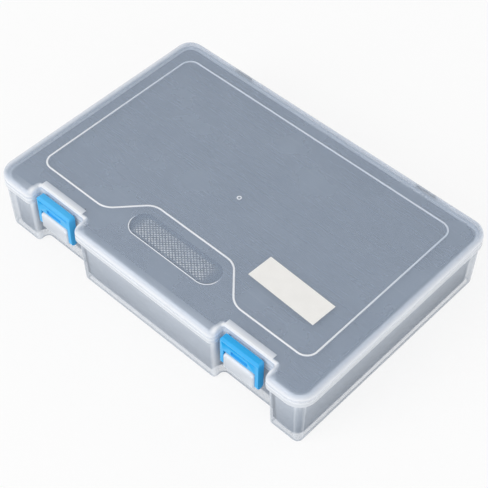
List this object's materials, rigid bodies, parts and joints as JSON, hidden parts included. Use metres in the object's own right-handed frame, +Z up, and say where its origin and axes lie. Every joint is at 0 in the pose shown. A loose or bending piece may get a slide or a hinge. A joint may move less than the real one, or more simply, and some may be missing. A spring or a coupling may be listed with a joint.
{
  "type": "clear plastic tool case",
  "caption": "Flat translucent plastic case with a hinged lid, swing latches and a foam fill with cut-outs for small tools.",
  "frame": {"origin": "middle of the base's underside, under the centre of the case's outline without its hinges", "axes": "+X along the case to the right, -Y to the front with the latches, +Z up through the lid"},
  "size_m": [0.165, 0.1146, 0.0323],
  "materials": {
    "clear_base": "frosted translucent polypropylene",
    "clear_lid": "translucent polypropylene, smooth outside",
    "blue_latch": "moulded blue plastic",
    "steel_pin": "drawn steel wire",
    "dark_foam": "dark closed-cell foam",
    "dark_pad": "dark foam sheet",
    "label_paper": "white label tape"
  },
  "bodies": {
    "base": {"base": "clear_base", "hinge_pin_left": "steel_pin", "hinge_pin_right": "steel_pin", "foam_floor": "dark_foam", "foam_insert": "dark_foam"},
    "lid": {"lid": "clear_lid", "lid_pad": "dark_pad", "label": "label_paper"},
    "latch_left": {"latch_left": "blue_latch"},
    "latch_right": {"latch_right": "blue_latch"}
  },
  "joints": [
    {"name": "lid_hinge", "type": "hinge", "parent": "base", "child": "lid", "pos_m": [0, 0.0566, 0.025], "axis": [-1, 0, 0], "range_deg": [0, 180]},
    {"name": "latch_left_pivot", "type": "hinge", "parent": "base", "child": "latch_left", "pos_m": [-0.0503, -0.0522, 0.0166], "axis": [1, 0, 0], "range_deg": [0, 170]},
    {"name": "latch_right_pivot", "type": "hinge", "parent": "base", "child": "latch_right", "pos_m": [0.0503, -0.0522, 0.0166], "axis": [1, 0, 0], "range_deg": [0, 170]}
  ]
}
